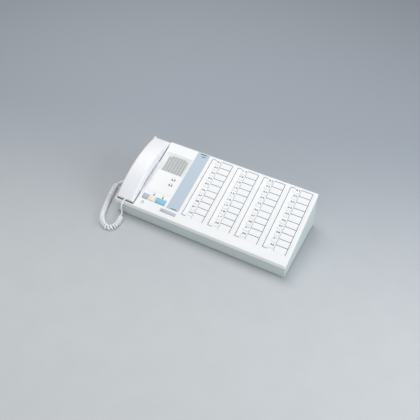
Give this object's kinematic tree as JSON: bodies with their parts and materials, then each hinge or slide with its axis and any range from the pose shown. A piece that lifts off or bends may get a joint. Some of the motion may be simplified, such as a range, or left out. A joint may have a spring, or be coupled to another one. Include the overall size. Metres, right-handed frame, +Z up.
{
  "type": "desk intercom master station",
  "caption": "Sloping desk intercom console with a cradled handset on a curly cord, loudspeaker grille, talk buttons and columns of station keys with name cards.",
  "frame": {"origin": "on the desk, under the middle of the case's plan outline", "axes": "+X to the right along the front, +Y to the back, +Z up; the panel slopes up towards +Y"},
  "size_m": [0.5536, 0.2886, 0.1174],
  "materials": {
    "cover": "fine-textured white moulding",
    "base": "fine-textured grey-green moulding",
    "panel": "smooth white plate",
    "card": "pale paper behind clear film",
    "accent": "satin blue-grey film",
    "handset": "smooth white moulding",
    "key": "smooth white plastic",
    "off": "satin grey-blue plastic",
    "call": "satin beige plastic",
    "talk": "satin cyan plastic",
    "cord": "soft white vinyl",
    "rubber": "dull",
    "board": "solder mask",
    "dark_metal": "satin",
    "screw": "zinc plated"
  },
  "bodies": {
    "console": {"base_housing": "base", "top_cover": "cover", "station_panels": "panel", "name_cards": "card", "accent_plate": "accent", "speaker": "dark_metal", "circuit_boards": "board", "rubber_feet": "rubber", "case_screws": "screw", "curly_cord": "cord"},
    "handset": {"handset_shell": "handset", "handset_face": "handset", "handset_capsules": "dark_metal", "handset_plug": "cord"},
    "hook_plunger": {"hook_plunger": "key"},
    "off_button": {"off_button": "off"},
    "call_button": {"call_button": "call"},
    "talk_button": {"talk_button": "talk"},
    "chime_volume_slider": {"chime_volume_slider": "key"},
    "speaker_volume_slider": {"speaker_volume_slider": "key"},
    "key_01": {"key_01": "key"},
    "key_02": {"key_02": "key"},
    "key_03": {"key_03": "key"},
    "key_04": {"key_04": "key"},
    "key_05": {"key_05": "key"},
    "key_06": {"key_06": "key"},
    "key_07": {"key_07": "key"},
    "key_08": {"key_08": "key"},
    "key_09": {"key_09": "key"},
    "key_10": {"key_10": "key"},
    "key_11": {"key_11": "key"},
    "key_12": {"key_12": "key"},
    "key_13": {"key_13": "key"},
    "key_14": {"key_14": "key"},
    "key_15": {"key_15": "key"},
    "key_16": {"key_16": "key"},
    "key_17": {"key_17": "key"},
    "key_18": {"key_18": "key"},
    "key_19": {"key_19": "key"},
    "key_20": {"key_20": "key"},
    "key_21": {"key_21": "key"},
    "key_22": {"key_22": "key"},
    "key_23": {"key_23": "key"},
    "key_24": {"key_24": "key"},
    "key_25": {"key_25": "key"},
    "key_26": {"key_26": "key"},
    "key_27": {"key_27": "key"},
    "key_28": {"key_28": "key"},
    "key_29": {"key_29": "key"},
    "key_30": {"key_30": "key"},
    "key_31": {"key_31": "key"},
    "key_32": {"key_32": "key"},
    "key_33": {"key_33": "key"},
    "key_34": {"key_34": "key"},
    "key_35": {"key_35": "key"},
    "key_36": {"key_36": "key"},
    "key_37": {"key_37": "key"},
    "key_38": {"key_38": "key"},
    "key_39": {"key_39": "key"},
    "key_40": {"key_40": "key"}
  },
  "joints": [
    {"name": "handset_lift", "type": "slide", "parent": "console", "child": "handset", "axis": [0, -0.2924, 0.9563], "range_m": [0, 0.08], "deforming": ["curly_cord"]},
    {"name": "hook_plunger_rise", "type": "slide", "parent": "console", "child": "hook_plunger", "axis": [0, -0.2924, 0.9563], "range_m": [0, 0.004]},
    {"name": "off_button_press", "type": "slide", "parent": "console", "child": "off_button", "axis": [0, 0.2924, -0.9563], "range_m": [0, 0.0015], "stiffness_N_per_m": 500, "springref_m": -0.0005},
    {"name": "call_button_press", "type": "slide", "parent": "console", "child": "call_button", "axis": [0, 0.2924, -0.9563], "range_m": [0, 0.0015], "stiffness_N_per_m": 500, "springref_m": -0.0005},
    {"name": "talk_button_press", "type": "slide", "parent": "console", "child": "talk_button", "axis": [0, 0.2924, -0.9563], "range_m": [0, 0.0015], "stiffness_N_per_m": 500, "springref_m": -0.0005},
    {"name": "chime_volume_slide", "type": "slide", "parent": "console", "child": "chime_volume_slider", "axis": [1, 0, 0], "range_m": [-0.003, 0.003]},
    {"name": "speaker_volume_slide", "type": "slide", "parent": "console", "child": "speaker_volume_slider", "axis": [1, 0, 0], "range_m": [-0.003, 0.003]},
    {"name": "key_01_press", "type": "slide", "parent": "console", "child": "key_01", "axis": [0, 0.2924, -0.9563], "range_m": [0, 0.0012], "stiffness_N_per_m": 400, "springref_m": -0.0005},
    {"name": "key_02_press", "type": "slide", "parent": "console", "child": "key_02", "axis": [0, 0.2924, -0.9563], "range_m": [0, 0.0012], "stiffness_N_per_m": 400, "springref_m": -0.0005},
    {"name": "key_03_press", "type": "slide", "parent": "console", "child": "key_03", "axis": [0, 0.2924, -0.9563], "range_m": [0, 0.0012], "stiffness_N_per_m": 400, "springref_m": -0.0005},
    {"name": "key_04_press", "type": "slide", "parent": "console", "child": "key_04", "axis": [0, 0.2924, -0.9563], "range_m": [0, 0.0012], "stiffness_N_per_m": 400, "springref_m": -0.0005},
    {"name": "key_05_press", "type": "slide", "parent": "console", "child": "key_05", "axis": [0, 0.2924, -0.9563], "range_m": [0, 0.0012], "stiffness_N_per_m": 400, "springref_m": -0.0005},
    {"name": "key_06_press", "type": "slide", "parent": "console", "child": "key_06", "axis": [0, 0.2924, -0.9563], "range_m": [0, 0.0012], "stiffness_N_per_m": 400, "springref_m": -0.0005},
    {"name": "key_07_press", "type": "slide", "parent": "console", "child": "key_07", "axis": [0, 0.2924, -0.9563], "range_m": [0, 0.0012], "stiffness_N_per_m": 400, "springref_m": -0.0005},
    {"name": "key_08_press", "type": "slide", "parent": "console", "child": "key_08", "axis": [0, 0.2924, -0.9563], "range_m": [0, 0.0012], "stiffness_N_per_m": 400, "springref_m": -0.0005},
    {"name": "key_09_press", "type": "slide", "parent": "console", "child": "key_09", "axis": [0, 0.2924, -0.9563], "range_m": [0, 0.0012], "stiffness_N_per_m": 400, "springref_m": -0.0005},
    {"name": "key_10_press", "type": "slide", "parent": "console", "child": "key_10", "axis": [0, 0.2924, -0.9563], "range_m": [0, 0.0012], "stiffness_N_per_m": 400, "springref_m": -0.0005},
    {"name": "key_11_press", "type": "slide", "parent": "console", "child": "key_11", "axis": [0, 0.2924, -0.9563], "range_m": [0, 0.0012], "stiffness_N_per_m": 400, "springref_m": -0.0005},
    {"name": "key_12_press", "type": "slide", "parent": "console", "child": "key_12", "axis": [0, 0.2924, -0.9563], "range_m": [0, 0.0012], "stiffness_N_per_m": 400, "springref_m": -0.0005},
    {"name": "key_13_press", "type": "slide", "parent": "console", "child": "key_13", "axis": [0, 0.2924, -0.9563], "range_m": [0, 0.0012], "stiffness_N_per_m": 400, "springref_m": -0.0005},
    {"name": "key_14_press", "type": "slide", "parent": "console", "child": "key_14", "axis": [0, 0.2924, -0.9563], "range_m": [0, 0.0012], "stiffness_N_per_m": 400, "springref_m": -0.0005},
    {"name": "key_15_press", "type": "slide", "parent": "console", "child": "key_15", "axis": [0, 0.2924, -0.9563], "range_m": [0, 0.0012], "stiffness_N_per_m": 400, "springref_m": -0.0005},
    {"name": "key_16_press", "type": "slide", "parent": "console", "child": "key_16", "axis": [0, 0.2924, -0.9563], "range_m": [0, 0.0012], "stiffness_N_per_m": 400, "springref_m": -0.0005},
    {"name": "key_17_press", "type": "slide", "parent": "console", "child": "key_17", "axis": [0, 0.2924, -0.9563], "range_m": [0, 0.0012], "stiffness_N_per_m": 400, "springref_m": -0.0005},
    {"name": "key_18_press", "type": "slide", "parent": "console", "child": "key_18", "axis": [0, 0.2924, -0.9563], "range_m": [0, 0.0012], "stiffness_N_per_m": 400, "springref_m": -0.0005},
    {"name": "key_19_press", "type": "slide", "parent": "console", "child": "key_19", "axis": [0, 0.2924, -0.9563], "range_m": [0, 0.0012], "stiffness_N_per_m": 400, "springref_m": -0.0005},
    {"name": "key_20_press", "type": "slide", "parent": "console", "child": "key_20", "axis": [0, 0.2924, -0.9563], "range_m": [0, 0.0012], "stiffness_N_per_m": 400, "springref_m": -0.0005},
    {"name": "key_21_press", "type": "slide", "parent": "console", "child": "key_21", "axis": [0, 0.2924, -0.9563], "range_m": [0, 0.0012], "stiffness_N_per_m": 400, "springref_m": -0.0005},
    {"name": "key_22_press", "type": "slide", "parent": "console", "child": "key_22", "axis": [0, 0.2924, -0.9563], "range_m": [0, 0.0012], "stiffness_N_per_m": 400, "springref_m": -0.0005},
    {"name": "key_23_press", "type": "slide", "parent": "console", "child": "key_23", "axis": [0, 0.2924, -0.9563], "range_m": [0, 0.0012], "stiffness_N_per_m": 400, "springref_m": -0.0005},
    {"name": "key_24_press", "type": "slide", "parent": "console", "child": "key_24", "axis": [0, 0.2924, -0.9563], "range_m": [0, 0.0012], "stiffness_N_per_m": 400, "springref_m": -0.0005},
    {"name": "key_25_press", "type": "slide", "parent": "console", "child": "key_25", "axis": [0, 0.2924, -0.9563], "range_m": [0, 0.0012], "stiffness_N_per_m": 400, "springref_m": -0.0005},
    {"name": "key_26_press", "type": "slide", "parent": "console", "child": "key_26", "axis": [0, 0.2924, -0.9563], "range_m": [0, 0.0012], "stiffness_N_per_m": 400, "springref_m": -0.0005},
    {"name": "key_27_press", "type": "slide", "parent": "console", "child": "key_27", "axis": [0, 0.2924, -0.9563], "range_m": [0, 0.0012], "stiffness_N_per_m": 400, "springref_m": -0.0005},
    {"name": "key_28_press", "type": "slide", "parent": "console", "child": "key_28", "axis": [0, 0.2924, -0.9563], "range_m": [0, 0.0012], "stiffness_N_per_m": 400, "springref_m": -0.0005},
    {"name": "key_29_press", "type": "slide", "parent": "console", "child": "key_29", "axis": [0, 0.2924, -0.9563], "range_m": [0, 0.0012], "stiffness_N_per_m": 400, "springref_m": -0.0005},
    {"name": "key_30_press", "type": "slide", "parent": "console", "child": "key_30", "axis": [0, 0.2924, -0.9563], "range_m": [0, 0.0012], "stiffness_N_per_m": 400, "springref_m": -0.0005},
    {"name": "key_31_press", "type": "slide", "parent": "console", "child": "key_31", "axis": [0, 0.2924, -0.9563], "range_m": [0, 0.0012], "stiffness_N_per_m": 400, "springref_m": -0.0005},
    {"name": "key_32_press", "type": "slide", "parent": "console", "child": "key_32", "axis": [0, 0.2924, -0.9563], "range_m": [0, 0.0012], "stiffness_N_per_m": 400, "springref_m": -0.0005},
    {"name": "key_33_press", "type": "slide", "parent": "console", "child": "key_33", "axis": [0, 0.2924, -0.9563], "range_m": [0, 0.0012], "stiffness_N_per_m": 400, "springref_m": -0.0005},
    {"name": "key_34_press", "type": "slide", "parent": "console", "child": "key_34", "axis": [0, 0.2924, -0.9563], "range_m": [0, 0.0012], "stiffness_N_per_m": 400, "springref_m": -0.0005},
    {"name": "key_35_press", "type": "slide", "parent": "console", "child": "key_35", "axis": [0, 0.2924, -0.9563], "range_m": [0, 0.0012], "stiffness_N_per_m": 400, "springref_m": -0.0005},
    {"name": "key_36_press", "type": "slide", "parent": "console", "child": "key_36", "axis": [0, 0.2924, -0.9563], "range_m": [0, 0.0012], "stiffness_N_per_m": 400, "springref_m": -0.0005},
    {"name": "key_37_press", "type": "slide", "parent": "console", "child": "key_37", "axis": [0, 0.2924, -0.9563], "range_m": [0, 0.0012], "stiffness_N_per_m": 400, "springref_m": -0.0005},
    {"name": "key_38_press", "type": "slide", "parent": "console", "child": "key_38", "axis": [0, 0.2924, -0.9563], "range_m": [0, 0.0012], "stiffness_N_per_m": 400, "springref_m": -0.0005},
    {"name": "key_39_press", "type": "slide", "parent": "console", "child": "key_39", "axis": [0, 0.2924, -0.9563], "range_m": [0, 0.0012], "stiffness_N_per_m": 400, "springref_m": -0.0005},
    {"name": "key_40_press", "type": "slide", "parent": "console", "child": "key_40", "axis": [0, 0.2924, -0.9563], "range_m": [0, 0.0012], "stiffness_N_per_m": 400, "springref_m": -0.0005}
  ],
  "couplings": [
    {"joint": "hook_plunger_rise", "follows": "handset_lift", "ratio": 0.05}
  ]
}
